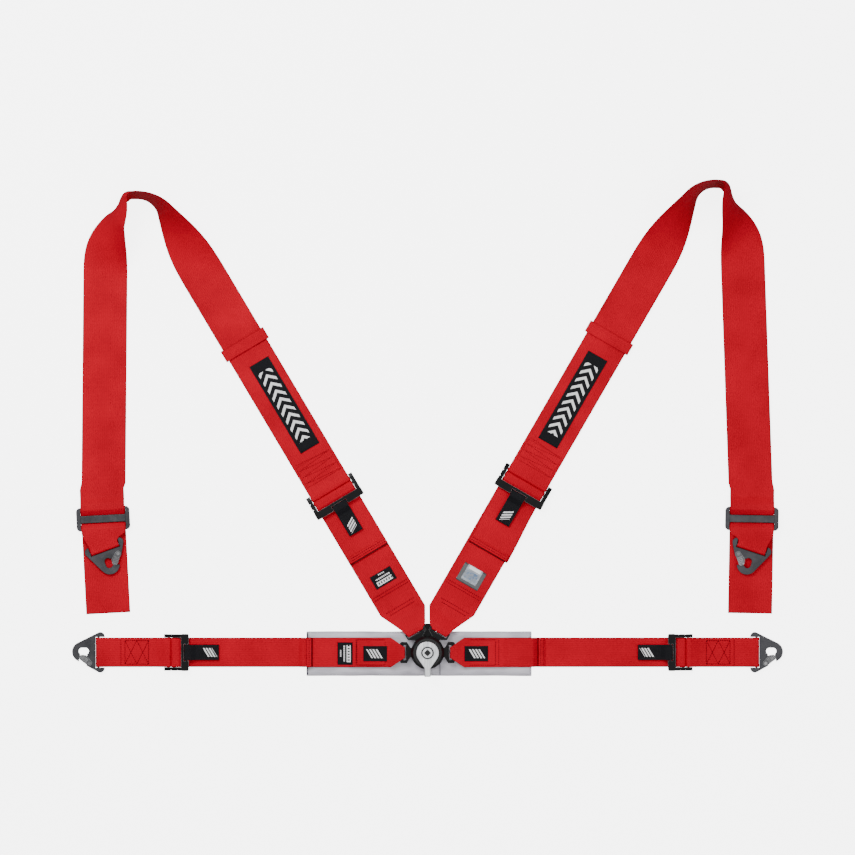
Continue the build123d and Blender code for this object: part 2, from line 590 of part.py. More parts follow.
KEEPER_AT = {"left": 608.0, "right": 617.0}
KEEPER_LENGTH = 21.0
for side, (hand, slide_x, lean, lower_lean, radius) in SIDES.items():
    belt = f"{side}_shoulder"
    direction, width, start, tail = BELTS[belt]
    slant = LEFT_SLANT if side == "left" else RIGHT_SLANT
    fixed_bar = start + FIXED_BAR_AT
    slide_centre = Vector(slide_x, SLIDE_Y, 0)
    down = Vector(hand * sin(radians(lower_lean)), -cos(radians(lower_lean)), 0)
    lower_view = side_view(down, slide_centre)
    over_bar = SLIDE_BOTTOM + SLIDE_THICKNESS + AIR + WEB / 2
    hook_centre = slide_centre + down * SHOULDER_HOOK_AT
    hook_way = down.rotate(Axis.Z, -hand * SHOULDER_HOOK_ANGLE)
    hook_z = LAYER_2 + WRAP
    hook_view = plan_view(hook_way, hook_centre + UP * hook_z)
    with BuildPart() as upper_webbing:
        near = fixed_bar - WRAP
        top = LAYER_1 + 2 * WRAP
        strip_start = fixed_bar + 90
        ribbon(side_view(direction),
               [(fixed_bar + SEWN_END, LAYER_1), (near, LAYER_1), (near, top), (fixed_bar + 4, top),
                (fixed_bar + 20, LAYER_2), (strip_start, LAYER_2)], width, [3.2, 3.2, 6, 6])
        planes = loop_planes(hand, slant, slide_x, lean, radius, strip_start, 62.0)
        planes.append(Plane(origin=slide_centre - down * 50 + UP * STRIP,
                            x_dir=-planes[-1].x_dir.Z * UP + planes[-1].x_dir, z_dir=down))
        loft_between(planes, [width] * len(planes))
        # Over the slide's top bar, under its centre bar and over its bottom bar
        ribbon(lower_view,
               [(-50, STRIP), (-38, STRIP), (-24, over_bar), (-15.5, over_bar), (-6.5, LAYER_3), (6.5, LAYER_3),
                (15.5, over_bar), (24, over_bar)], width, [8, 4, 3, 3, 3, 3])
        # Down to the hook, round its bar and back beneath
        bridge_end = hook_centre - hook_way * 10
        for height_from, height_to, from_slide, wide in (
            (over_bar, hook_z + WRAP, 24, width), (LAYER_2, LAYER_2, 20, width),
        ):
            a = Plane(origin=slide_centre + down * from_slide + UP * height_from, x_dir=lower_view.z_dir, z_dir=down)
            b = Plane(origin=bridge_end + UP * height_to, x_dir=hook_way.cross(UP), z_dir=hook_way)
            loft_between([a, b], [wide, HOOK_WIDTH])
        far = WRAP
        ribbon(side_view(hook_way, hook_centre),
               [(-10, hook_z + WRAP), (far, hook_z + WRAP), (far, hook_z - WRAP), (-10, hook_z - WRAP)],
               HOOK_WIDTH, [3.2, 3.2])
        ribbon(lower_view, [(20, LAYER_2), (10, LAYER_2), (0, LAYER_2)], width, 0)
        # The loose tail, from under the slide
        ribbon(lower_view, [(0, LAYER_1), (80, LAYER_1), (161, LAYER_1)], width, 0)
    save(upper_webbing, f"{belt}_upper_webbing")

    with BuildPart() as slide:
        with BuildSketch(plan_view(down, slide_centre + UP * SLIDE_BOTTOM)):
            RectangleRounded(SLIDE_LENGTH, SLIDE_WIDTH, 7)
            gap = SLIDE_LENGTH / 2 - END_BAR - CENTRE_BAR / 2
            for sign in (-1, 1):
                with Locations((sign * (CENTRE_BAR + gap) / 2, 0)):
                    RectangleRounded(gap, width + 0.8, 1.5, mode=Mode.SUBTRACT)
        extrude(amount=SLIDE_THICKNESS)
        rims = slide.faces().filter_by(Axis.Z).sort_by(Axis.Z)
        chamfer(rims[-1].edges() + rims[0].outer_wire().edges(), 0.6)
    save(slide, f"{belt}_three_bar_slide")

    snap_hook(belt, hook_view, -1 if side == "left" else 1)

    keeper_view = Plane(origin=direction * (KEEPER_AT[side] - KEEPER_LENGTH / 2), x_dir=direction.cross(UP),
                        z_dir=direction)
    with BuildPart() as keeper:
        with BuildSketch(keeper_view):
            with Locations((0, STRIP)):
                RectangleRounded(width + 7.6, 5.8, 1.6)
                Rectangle(width + 1.2, WEB + 2 * AIR, mode=Mode.SUBTRACT)
        extrude(amount=KEEPER_LENGTH)
    save(keeper, f"{belt}_keeper")
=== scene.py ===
import json
import math
from collections import namedtuple

import bmesh
import bpy
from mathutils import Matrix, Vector, noise


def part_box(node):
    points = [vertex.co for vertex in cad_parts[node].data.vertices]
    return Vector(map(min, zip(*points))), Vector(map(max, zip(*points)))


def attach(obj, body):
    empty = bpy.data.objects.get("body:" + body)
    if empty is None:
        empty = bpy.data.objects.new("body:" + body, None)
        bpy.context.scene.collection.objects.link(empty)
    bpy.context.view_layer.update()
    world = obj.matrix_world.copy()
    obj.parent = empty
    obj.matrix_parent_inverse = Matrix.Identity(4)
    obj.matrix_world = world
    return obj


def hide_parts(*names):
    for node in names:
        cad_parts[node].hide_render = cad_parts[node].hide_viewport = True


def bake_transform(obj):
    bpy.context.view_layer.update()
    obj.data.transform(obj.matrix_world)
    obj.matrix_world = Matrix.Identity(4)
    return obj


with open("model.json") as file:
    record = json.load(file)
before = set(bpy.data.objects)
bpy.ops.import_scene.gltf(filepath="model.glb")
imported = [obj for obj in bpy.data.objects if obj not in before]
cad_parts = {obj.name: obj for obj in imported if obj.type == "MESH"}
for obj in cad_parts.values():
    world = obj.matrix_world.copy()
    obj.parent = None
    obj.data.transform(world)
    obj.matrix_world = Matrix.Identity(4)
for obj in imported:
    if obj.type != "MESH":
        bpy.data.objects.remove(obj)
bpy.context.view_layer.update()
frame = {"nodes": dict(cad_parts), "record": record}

# The harness lies on the floor and is seen straight from above. Sizes are in metres, except where a comment
# gives millimetres.
MM = 0.001
UP = Vector((0, 0, 1))
LAP_WIDTH = 50 * MM
SHOULDER_WIDTH = 75 * MM
KEEPER_HALF_WIDTH = 10.5 * MM
WEB = 1.7 * MM
STEP = 3 * MM
LEFT_SLANT, RIGHT_SLANT = 30.7, 30.0

# In millimetres: heights of the middle of the webbing in the three layers on the floor and in the one on the
# pad, how much one layer on the pad rises over another, the height of the hooks' bars, how far apart the two
# sides of a turn round a bar are, and the radius of its corners.
LAYER_1, LAYER_2, LAYER_3 = 1.05, 3.25, 5.45
ON_PAD = 6.3
PAD_LAYER, TONGUE_LAYER = 2.4, 2.2
HOOK_BAR = 6.55
TURN = 6.6
WRAP = 3.2
# In millimetres: the slide's underside and thickness, and the air and half strap over it.
SLIDE_BOTTOM, SLIDE_THICKNESS, AIR, HALF_STRAP = 6.75, 3.5, 0.3, 1.0
# Heights of stitching on the second layer, on a pull tab and on a lap belt's end, in millimetres
SEAM_Z, TAB_SEAM_Z, LAP_SEAM_Z = 4.25, 8.1, 9.6


# ---------------------------------------------------------------- camera, lights and floor

def make_stage():
    camera_data = bpy.data.cameras.new("camera")
    camera = bpy.data.objects.new("camera", camera_data)
    bpy.context.scene.collection.objects.link(camera)
    height, view_width = 9.0, 1.4535
    camera.location = (0.0, 0.382, height)
    camera_data.sensor_width = 36
    camera_data.lens = 36 * height / view_width
    camera_data.clip_end = 20
    bpy.context.scene.camera = camera

    bpy.ops.mesh.primitive_plane_add(size=14, location=(0, 0.4, -0.0004))
    floor = bpy.context.object
    floor.name = "floor"
    # The floor is a lit table, so it shows white; its light doesn't reach the harness.
    floor.data.materials.append(material("floor", (0.86, 0.86, 0.865), roughness=0.9,
                                         Emission_Color=(1, 1, 1, 1), Emission_Strength=5.0))
    floor.visible_diffuse = False
    floor.visible_glossy = False

    for name, place, size, power in (
        ("key_light", (-1.1, 1.7, 2.3), 1.2, 64),
        ("fill_light", (1.7, -0.6, 2.2), 2.2, 24),
        ("top_light", (0.1, 0.4, 3.6), 2.4, 34),
    ):
        light_data = bpy.data.lights.new(name, "AREA")
        light_data.size = size
        light_data.energy = power
        light = bpy.data.objects.new(name, light_data)
        light.location = place
        light.visible_camera = False
        aim = Vector((0, 0.38, 0)) - Vector(place)
        light.rotation_euler = aim.to_track_quat("-Z", "Y").to_euler()
        bpy.context.scene.collection.objects.link(light)

    world = bpy.data.worlds.new("world")
    world.use_nodes = True
    background = world.node_tree.nodes["Background"]
    background.inputs["Color"].default_value = (1, 1, 1, 1)
    # Seen directly, past the floor's edge, it is as white as the floor; it lights the harness softly.
    seen = world.node_tree.nodes.new("ShaderNodeLightPath").outputs["Is Camera Ray"]
    strength = world.node_tree.nodes.new("ShaderNodeMapRange")
    strength.inputs["To Min"].default_value = 0.38
    strength.inputs["To Max"].default_value = 5.6
    world.node_tree.links.new(seen, strength.inputs["Value"])
    world.node_tree.links.new(strength.outputs["Result"], background.inputs["Strength"])
    bpy.context.scene.world = world


# ---------------------------------------------------------------- materials

def material(name, colour, roughness=0.5, metallic=0.0, **sockets):
    mat = bpy.data.materials.new(name)
    mat.use_nodes = True
    shader = mat.node_tree.nodes["Principled BSDF"]
    shader.inputs["Base Color"].default_value = (*colour, 1)
    shader.inputs["Roughness"].default_value = roughness
    shader.inputs["Metallic"].default_value = metallic
    for socket, value in sockets.items():
        shader.inputs[socket.replace("_", " ")].default_value = value
    return mat


class Nodes:
    """Adds nodes to a material, and links them to its shader."""

    def __init__(self, mat):
        self.tree = mat.node_tree
        self.shader = mat.node_tree.nodes["Principled BSDF"]

    def add(self, kind, **values):
        node = self.tree.nodes.new("ShaderNode" + kind)
        for key, value in values.items():
            setattr(node, key, value)
        return node

    def join(self, a, b):
        self.tree.links.new(a, b)

    def position(self, scale=(1, 1, 1)):
        place = self.add("TexCoord").outputs["Object"]
        mapping = self.add("Mapping")
        mapping.inputs["Scale"].default_value = scale
        self.join(place, mapping.inputs["Vector"])
        return mapping.outputs["Vector"]

    def strap_uv(self):
        uv = self.add("UVMap", uv_map="strap")
        split = self.add("SeparateXYZ")
        self.join(uv.outputs["UV"], split.inputs["Vector"])
        return split.outputs["X"], split.outputs["Y"]

    def math(self, operation, a, b=None, c=None):
        node = self.add("Math", operation=operation)
        for socket, value in zip(node.inputs, (a, b, c)):
            if value is None:
                continue
            if isinstance(value, (int, float)):
                socket.default_value = value
            else:
                self.join(value, socket)
        return node.outputs[0]

    def noise(self, vector, scale, detail=3.0, roughness=0.5):
        node = self.add("TexNoise")
        node.inputs["Scale"].default_value = scale
        node.inputs["Detail"].default_value = detail
        node.inputs["Roughness"].default_value = roughness
        self.join(vector, node.inputs["Vector"])
        return node.outputs["Fac"]

    def spread(self, value, low, high, out_low=0.0, out_high=1.0):
        node = self.add("MapRange")
        numbers = {"From Min": low, "From Max": high, "To Min": out_low, "To Max": out_high}
        for socket, number in numbers.items():
            node.inputs[socket].default_value = number
        self.join(value, node.inputs["Value"])
        return node.outputs["Result"]

    def mix(self, fac, a, b):
        node = self.add("Mix", data_type="RGBA")
        for socket, value in ((node.inputs[0], fac), (node.inputs[6], a), (node.inputs[7], b)):
            if isinstance(value, tuple):
                socket.default_value = (*value, 1)
            else:
                self.join(value, socket)
        return node.outputs[2]

    def bump(self, height, strength, distance):
        node = self.add("Bump")
        node.inputs["Strength"].default_value = strength
        node.inputs["Distance"].default_value = distance
        self.join(height, node.inputs["Height"])
        self.join(node.outputs["Normal"], self.shader.inputs["Normal"])

    def colour(self, value):
        self.join(value, self.shader.inputs["Base Color"])

    def roughness(self, value):
        self.join(value, self.shader.inputs["Roughness"])


def webbing_material(name, deep, mid, bright, half_width):
    """Ribbed polyester webbing: lengthwise ribs crossed by picks, uneven dye, and painted shade darkening
    both edges.
    """
    mat = material(name, mid, roughness=0.62, Specular_IOR_Level=0.06)
    n = Nodes(mat)
    across, along = n.strap_uv()
    rib_width, pick_width = 3.1 * MM, 2.2 * MM
    ribs = n.math("SINE", n.math("MULTIPLY", across, 2 * math.pi / rib_width))
    # Picks step up and down from rib to rib, as in a herringbone weave
    zigzag = n.math("MULTIPLY", n.math("ABSOLUTE", ribs), 0.9)
    picks = n.math("SINE", n.math("ADD", n.math("MULTIPLY", along, 2 * math.pi / pick_width), zigzag))
    weave = n.math("ADD", n.math("MULTIPLY", ribs, 0.5), n.math("MULTIPLY", picks, 0.5))
    object_place = n.position()
    blotch = n.noise(object_place, 14, 3)
    grain = n.noise(object_place, 900, 2, 0.7)
    tone = n.math("ADD", n.spread(blotch, 0.3, 0.7, 0.36, 0.66), n.math("MULTIPLY", weave, 0.13))
    tone = n.math("ADD", tone, n.spread(grain, 0.3, 0.7, -0.12, 0.12))
    # Painted shade: the colour darkens towards both edges, where the rounded edges would fall into shade.
    edge = n.spread(n.math("ABSOLUTE", across), half_width - 2.6 * MM, half_width, 0.0, 0.28)
    tone = n.math("SUBTRACT", tone, edge)
    low = n.mix(n.spread(tone, 0.0, 0.5), deep, mid)
    n.colour(n.mix(n.spread(tone, 0.5, 1.0), low, bright))
    n.roughness(n.spread(grain, 0.2, 0.8, 0.5, 0.72))
    n.bump(n.math("ADD", weave, n.math("MULTIPLY", grain, 0.5)), 0.6, 0.25 * MM)
    return mat


def satin_material():
    """Padded satin: pale lilac grey, a fine twill and soft creases, its colour darker in the creases and
    paler on the swells as painted shade.
    """
    mat = material("pad_satin", (0.5, 0.48, 0.53), roughness=0.38, Sheen_Weight=0.3, Sheen_Roughness=0.35,
                   Specular_IOR_Level=0.45)
    n = Nodes(mat)
    place = n.position()
    crease_height_and_painted_shade = n.noise(n.position((18, 60, 10)), 1.0, 3)
    grain = n.noise(place, 1400, 2, 0.6)
    twill = n.add("TexWave", wave_type="BANDS", bands_direction="DIAGONAL")
    twill.inputs["Scale"].default_value = 260
    n.join(place, twill.inputs["Vector"])
    # Painted shade: the colour follows the crease height, darker in the hollows and paler on the swells.
    tone = n.math("ADD", n.spread(crease_height_and_painted_shade, 0.3, 0.7, 0.1, 0.9), n.spread(grain, 0.3, 0.7, -0.12, 0.12))
    n.colour(n.mix(tone, (0.42, 0.40, 0.46), (0.74, 0.72, 0.79)))
    n.roughness(n.spread(grain, 0.2, 0.8, 0.3, 0.46))
    fine = n.math("MULTIPLY", twill.outputs["Fac"], 0.15)
    n.bump(n.math("ADD", n.math("MULTIPLY", crease_height_and_painted_shade, 2.0), fine), 0.5, 0.6 * MM)
    return mat


def metal_material(name, dark, light, roughness, metallic, grain_scale=700, bump=0.12, coat=0.0,
                   shine=0.16, wear_and_painted_highlight=None):
    """Painted or plated metal: grained, paler where the noise peaks, and edges lightened to a paler colour,
    partly as wear and partly as painted highlight.
    """
    mat = material(name, dark, roughness=roughness, metallic=metallic, Coat_Weight=coat,
                   Coat_Roughness=0.12, Specular_IOR_Level=shine)
    n = Nodes(mat)
    place = n.position()
    grain = n.noise(place, grain_scale, 3, 0.65)
    patches = n.noise(place, 45, 4, 0.6)
    tone = n.math("ADD", n.spread(patches, 0.35, 0.75, 0.0, 0.6), n.spread(grain, 0.45, 0.8, 0.0, 0.35))
    colour = n.mix(tone, dark, light)
    if wear_and_painted_highlight:
        # Where a rounded normal would part from the face's own is an edge.
        softened = n.add("Bevel", samples=6)
        softened.inputs["Radius"].default_value = 0.9 * MM
        apart = n.add("VectorMath", operation="DOT_PRODUCT")
        n.join(softened.outputs["Normal"], apart.inputs[0])
        n.join(n.add("NewGeometry").outputs["True Normal"], apart.inputs[1])
        ridge = n.spread(apart.outputs["Value"], 0.985, 0.86)
        # Paler edges: partly edge wear, partly painted highlight standing in for edges catching the light.
        wear_and_painted_highlight_mask = n.math("MULTIPLY", ridge, n.spread(patches, 0.4, 0.6, 0.35, 1.0))
        colour = n.mix(wear_and_painted_highlight_mask, colour, wear_and_painted_highlight)
    n.colour(colour)
    n.roughness(n.spread(patches, 0.3, 0.7, roughness - 0.07, roughness + 0.1))
    n.bump(grain, bump, 0.12 * MM)
    return mat


def brushed_material(name, dark, light, streaks):
    mat = material(name, light, roughness=0.3, metallic=1.0)
    n = Nodes(mat)
    lines = n.noise(n.position(streaks), 1.0, 4, 0.7)
    cloud = n.noise(n.position(), 90, 2)
    n.colour(n.mix(n.spread(lines, 0.3, 0.7), dark, light))
    n.roughness(n.spread(cloud, 0.3, 0.7, 0.26, 0.4))
    n.bump(lines, 0.25, 0.08 * MM)
    return mat


def thread_material(name, dark, light):
    mat = material(name, light, roughness=0.6, Specular_IOR_Level=0.15)
    n = Nodes(mat)
    twist = n.noise(n.position(), 1600, 2)
    n.colour(n.mix(n.spread(twist, 0.35, 0.65), dark, light))
    n.bump(twist, 0.4, 0.1 * MM)
    return mat


def patch_material(name, motif):
    """Woven badge: a satin ground with a plain motif worked out from the place across and along it."""
    mat = material(name, (0.008, 0.008, 0.01), roughness=0.6, Specular_IOR_Level=0.06)
    n = Nodes(mat)
    across, along = n.strap_uv()
    threads = n.math("SINE", n.math("MULTIPLY", along, 2 * math.pi / (0.9 * MM)))
    grain = n.noise(n.position(), 1300, 2, 0.6)
    mask = motif(n, across, along)
    ragged = n.math("ADD", mask, n.spread(grain, 0.3, 0.7, -0.25, 0.25))
    ground = n.mix(n.spread(grain, 0.3, 0.7), (0.003, 0.003, 0.004), (0.014, 0.014, 0.017))
    n.colour(n.mix(n.spread(ragged, 0.4, 0.6), ground, (0.88, 0.88, 0.89)))
    n.bump(n.math("ADD", n.math("MULTIPLY", threads, 0.3), mask), 0.4, 0.2 * MM)
    return mat


def sleeve_material():
    """A dark clear-fronted sleeve with a silver card in it, printed with soft blue-grey blocks."""
    mat = material("label_sleeve", (0.04, 0.045, 0.05), roughness=0.22, Coat_Weight=0.4, Coat_Roughness=0.08)
    n = Nodes(mat)
    across, along = n.strap_uv()
    cloud = n.noise(n.position(), 170, 3, 0.6)
    card = n.math("MULTIPLY", band(n, across, 0.0, 14 * MM), band(n, along, 20.5 * MM, 14.5 * MM))
    blocks = n.math("MULTIPLY", band(n, across, 0.0, 11 * MM), band(n, along, 17.0 * MM, 7.0 * MM))
    blocks = n.math("MULTIPLY", blocks, n.spread(cloud, 0.42, 0.56))
    header = n.math("MULTIPLY", band(n, across, 0.0, 11 * MM), band(n, along, 30 * MM, 3.0 * MM))
    silver = n.mix(n.spread(cloud, 0.3, 0.7), (0.16, 0.19, 0.23), (0.42, 0.46, 0.52))
    silver = n.mix(blocks, silver, (0.06, 0.13, 0.26))
    silver = n.mix(header, silver, (0.9, 0.91, 0.92))
    n.colour(n.mix(card, (0.04, 0.045, 0.05), silver))
    n.roughness(n.spread(cloud, 0.3, 0.7, 0.14, 0.34))
    n.bump(cloud, 0.3, 0.3 * MM)
    return mat


def band(n, value, centre, half):
    return n.math("LESS_THAN", n.math("ABSOLUTE", n.math("SUBTRACT", value, centre)), half)


def chevrons(n, across, along):
    """A row of broad arrowheads down the middle of a long badge."""
    pitch = 15 * MM
    lean = n.math("ADD", along, n.math("MULTIPLY", n.math("ABSOLUTE", across), 0.9))
    rows = n.math("LESS_THAN", n.math("MODULO", n.math("ADD", lean, 1.0), pitch), 6.0 * MM)
    inside = n.math("MULTIPLY", band(n, across, 0.0, 12.5 * MM), band(n, along, 85 * MM, 68 * MM))
    return n.math("MULTIPLY", rows, inside)


def slanted_stripes(n, across, along, centre, half_length, half_width, pitch):
    """Slanted stripes inside a rectangle."""
    lean = n.math("ADD", along, n.math("MULTIPLY", across, 0.6))
    stripes = n.math("LESS_THAN", n.math("MODULO", n.math("ADD", lean, 1.0), pitch), pitch * 0.55)
    inside = n.math("MULTIPLY", band(n, lean, centre, half_length), band(n, across, 0.0, half_width))
    return n.math("MULTIPLY", stripes, inside)


def lap_motif(n, across, along):
    return slanted_stripes(n, across, along, 21 * MM, 10 * MM, 7.5 * MM, 5.5 * MM)


def tab_motif(n, across, along):
    return slanted_stripes(n, across, along, 15 * MM, 8 * MM, 7.5 * MM, 5.0 * MM)


def label_lines(n, across, along):
    """Two rows of dashes and a ruled box, as a care label looks from a distance."""
    dashes = n.math("GREATER_THAN", n.math("SINE", n.math("MULTIPLY", across, 1900.0)), -0.5)
    short_row = n.math("MULTIPLY", band(n, along, 20.5 * MM, 1.0 * MM), band(n, across, 0.0, 6 * MM))
    long_row = n.math("MULTIPLY", band(n, along, 14.5 * MM, 1.3 * MM), band(n, across, 0.0, 13.5 * MM))
    rows = n.math("MULTIPLY", n.math("MAXIMUM", short_row, long_row), dashes)
    box = n.math("MULTIPLY", band(n, along, 6.8 * MM, 3.6 * MM), band(n, across, 0.0, 14.5 * MM))
    ticks = n.math("GREATER_THAN", n.math("SINE", n.math("MULTIPLY", across, 1300.0)), 0.1)
    box = n.math("SUBTRACT", box, n.math("MULTIPLY", ticks, band(n, along, 6.8 * MM, 2.0 * MM)))
    return n.math("MAXIMUM", rows, box)


# ---------------------------------------------------------------- straps

SECTION = [(-1.0, 0.3), (-0.992, 0.68), (-0.975, 0.92), (-0.93, 1.0), (-0.7, 0.96), (-0.4, 0.94), (0.0, 0.93),
           (0.4, 0.94), (0.7, 0.96), (0.93, 1.0), (0.975, 0.92), (0.992, 0.68), (1.0, 0.3)]


def new_object(name, vertices, faces, mat):
    mesh = bpy.data.meshes.new(name)
    mesh.from_pydata([tuple(v) for v in vertices], [], faces)
    mesh.materials.append(mat)
    mesh.update()
    obj = bpy.data.objects.new(name, mesh)
    bpy.context.scene.collection.objects.link(obj)
    for polygon in mesh.polygons:
        polygon.use_smooth = True
    return obj


def strap(name, stations, mat, thick=WEB):
    """A closed ribbon. Each station is (centre, along, across, low edge, high edge), edges measured across.

    A sixth value cups the ribbon: its middle stands that far off its edges.
    """
    ring = len(SECTION) * 2
    vertices, uvs = [], []
    length, last = 0.0, None
    for centre, along, across, low, high, *cup in stations:
        cup = cup[0] if cup else 0.0
        if last is not None:
            length += (centre - last).length
        last = centre
        normal = along.cross(across).normalized()
        middle, half = (low + high) / 2, (high - low) / 2
        rim = []
        for sign, section in ((1, SECTION), (-1, SECTION[::-1])):
            for t, fullness in section:
                lift = sign * thick / 2 * fullness + cup * (1 - t * t)
                rim.append(centre + across * (middle + half * t) + normal * lift)
                uvs.append((middle + half * t, length))
        vertices += rim
    faces = []
    for i in range(len(stations) - 1):
        a, b = i * ring, (i + 1) * ring
        for k in range(ring):
            j = (k + 1) % ring
            faces.append((a + k, b + k, b + j, a + j))
    last_ring = (len(stations) - 1) * ring
    faces.append(tuple(range(ring)))
    faces.append(tuple(last_ring + k for k in reversed(range(ring))))
    obj = new_object(name, vertices, faces, mat)
    layer = obj.data.uv_layers.new(name="strap")
    for loop in obj.data.loops:
        layer.data[loop.index].uv = uvs[loop.vertex_index]
    fix_normals(obj)
    return obj, length


def fix_normals(obj):
    """Turn every face outwards."""
    bm = bmesh.new()
    bm.from_mesh(obj.data)
    bmesh.ops.recalc_face_normals(bm, faces=bm.faces)
    bm.to_mesh(obj.data)
    bm.free()


def rounded(points, radii):
    """The polyline with its corners rounded, as evenly spaced 2D points."""
    path = [Vector(points[0])]
    for i in range(1, len(points) - 1):
        before, here, after = (Vector(points[i + d]) for d in (-1, 0, 1))
        a, b = (before - here).normalized(), (after - here).normalized()
        cosine = max(-1.0, min(1.0, a.dot(b)))
        turn = math.pi - math.acos(cosine)
        if turn < 1e-3:
            continue
        setback = radii[i - 1] * math.tan(turn / 2)
        start = here + a * setback
        centre = here + (a + b).normalized() * (radii[i - 1] / math.cos(turn / 2))
        steps = max(3, int(turn / math.radians(12)))
        first = start - centre
        side = 1 if a.x * b.y - a.y * b.x < 0 else -1
        for k in range(steps + 1):
            angle = side * turn * k / steps
            path.append(centre + Vector((first.x * math.cos(angle) - first.y * math.sin(angle),
                                         first.x * math.sin(angle) + first.y * math.cos(angle))))
    path.append(Vector(points[-1]))
    out = [path[0]]
    for a, b in zip(path, path[1:]):
        gap = (b - a).length
        if gap < 1e-7:
            continue
        count = max(1, int(gap / STEP))
        out += [a + (b - a) * (k / count) for k in range(1, count + 1)]
    return out


def side_view(points, radii):
    """The rounded path through (distance, height) points, with the radii of its corners, in millimetres."""
    return rounded([(s * MM, z * MM) for s, z in points], [r * MM for r in radii])


def even(half, middle=0.0):
    """The limits of a strap of one width."""
    return lambda s: (middle - half, middle + half)


def run(direction, path, limits, origin=Vector((0, 0, 0))):
    """Stations along a side view's path. limits(s) gives the edges at the distance s."""
    across = UP.cross(direction)
    stations = []
    for k, p in enumerate(path):
        a = path[max(k - 1, 0)]
        b = path[min(k + 1, len(path) - 1)]
        step = (b - a).normalized()
        stations.append((origin + direction * p.x + UP * p.y, direction * step.x + UP * step.y, across,
                         *limits(p.x)))
    return stations


def between(x, table):
    """Straight-line interpolation in a short table of (x, value)."""
    for (x0, y0), (x1, y1) in zip(table, table[1:]):
        if x <= x1:
            t = max(0.0, min(1.0, (x - x0) / (x1 - x0)))
            return y0 + (y1 - y0) * t
    return table[-1][1]


# ---------------------------------------------------------------- belts

def heading(angle):
    return Vector((math.sin(math.radians(angle)), math.cos(math.radians(angle)), 0))


# From the buckle's axis out, in millimetres: the adjuster's start, the end of the loose tail, the pad's end
Belt = namedtuple("Belt", "direction width start tail pad_end body")
BELTS = {
    "left_lap": Belt(Vector((-1, 0, 0)), LAP_WIDTH, 405.5, 197.0, 205.7, "buckle"),
    "right_lap": Belt(Vector((1, 0, 0)), LAP_WIDTH, 408.5, 188.5, 177.0, "right_lap_belt"),
    "left_shoulder": Belt(heading(-LEFT_SLANT), SHOULDER_WIDTH, 287.5, 195.0, None, "left_shoulder_belt"),
    "right_shoulder": Belt(heading(RIGHT_SLANT), SHOULDER_WIDTH, 304.5, 200.0, None, "right_shoulder_belt"),
}
# The adjuster's bars, from its start, and the end of the lap hooks' webbing
GRIP_BAR, FIXED_BAR, LAP_HOOK = 25.5, 34.5, 559.0


def belt_limits(belt):
    """The webbing's edges, narrowed where it runs through the tongue's slot."""
    half = BELTS[belt].width / 2
    if BELTS[belt].pad_end:
        table = [(0.039, 8.8 * MM), (0.062, half)]
        return lambda s: (-between(s, table), between(s, table))
    inner = [(0.041, 14.4 * MM), (0.0445, 21.9 * MM), (0.071, half)]
    outer = [(0.041, 14.4 * MM), (0.055, 19.4 * MM), (0.093, half)]
    if BELTS[belt].direction.x > 0:
        return lambda s: (-between(s, outer), between(s, inner))
    return lambda s: (-between(s, inner), between(s, outer))


def inner_webbing(belt, mat):
    """From its sewn end through the tongue's slot, out to the adjuster, round the grip bar and back."""
    direction, width, start, tail, pad_end, body = BELTS[belt]
    low = ON_PAD if pad_end else LAYER_1
    over_tongue = low + TONGUE_LAYER
    below_slot, above_slot, slot = 11.7, 16.8, 39.2
    top = LAYER_1 + TURN
    points = [(126, low), (66, low), (47.5, below_slot), (slot, below_slot), (slot, above_slot),
              (48.5, above_slot), (72, over_tongue), (128, over_tongue), (136, low)]
    radii = [20, 6, 1.6, 1.6, 6, 20, 6, 6]
    if pad_end:
        step = pad_end + 2
        points += [(step, low), (step + 6, LAYER_1)]
        radii += [3, 3]
    far = start + GRIP_BAR + 4.2
    points += [(far, LAYER_1), (far, top), (start + 17, top), (start + 5, LAYER_2)]
    radii += [WRAP, WRAP, 4, 3]
    if belt == "left_lap":
        points += [(step + 11, LAYER_2), (step + 3, low + PAD_LAYER), (tail + 1, low + PAD_LAYER)]
        radii += [4, 4, 4]
    else:
        points.append((tail + 1, LAYER_2))
        radii.append(3)
    path = side_view(points, radii)
    stations = run(direction, path, belt_limits(belt))
    turn_back = max(range(len(path)), key=lambda k: path[k].x)
    for k in range(turn_back, len(path)):
        centre, along, across, low_edge, high_edge = stations[k]
        drift = tail_drift(belt) * smooth((start * MM - path[k].x) / ((start - tail) * MM))
        stations[k] = (centre + across * drift, along, across, low_edge, high_edge)
    obj, length = strap(f"{belt}_webbing", stations, mat)
    kind = "lower" if pad_end is None else "inner"
    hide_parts(f"{belt}_{kind}_webbing", f"{belt}_webbing_bight")
    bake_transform(obj)


def tail_drift(belt):
    """How far the loose end of a tail strays sideways."""
    return -4.0 * MM if belt == "right_shoulder" else 0.0


def tail_height(belt):
    """The height of the loose tail's middle at its end, in millimetres."""
    return ON_PAD + PAD_LAYER if belt == "left_lap" else LAYER_2


def hem(belt, mat, shade):
    """The folded and sewn end of the loose tail, with a near-black strip at the fold's edge as painted shade.
    """
    direction, width, _, tail, _, body = BELTS[belt]
    z = tail_height(belt) + 1.75
    limits = even(width / 2 - 0.2 * MM, tail_drift(belt))
    path = side_view([(tail + 11, z), (tail + 1.4, z), (tail + 0.2, z - 1.4)], [1.5])
    # The fold strip is a near-black strip standing at the hem's end: painted shade of the fold.
    edge = rounded([(tail * MM - 0.7 * MM, (z - 2.6) * MM), (tail * MM - 0.7 * MM, (z - 0.4) * MM)], [])
    for name, line, look in (("hem", path, mat), ("fold", edge, shade)):
        obj, _ = strap(f"{belt}_tail_{name}", run(direction, line, limits), look)
        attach(obj, body)


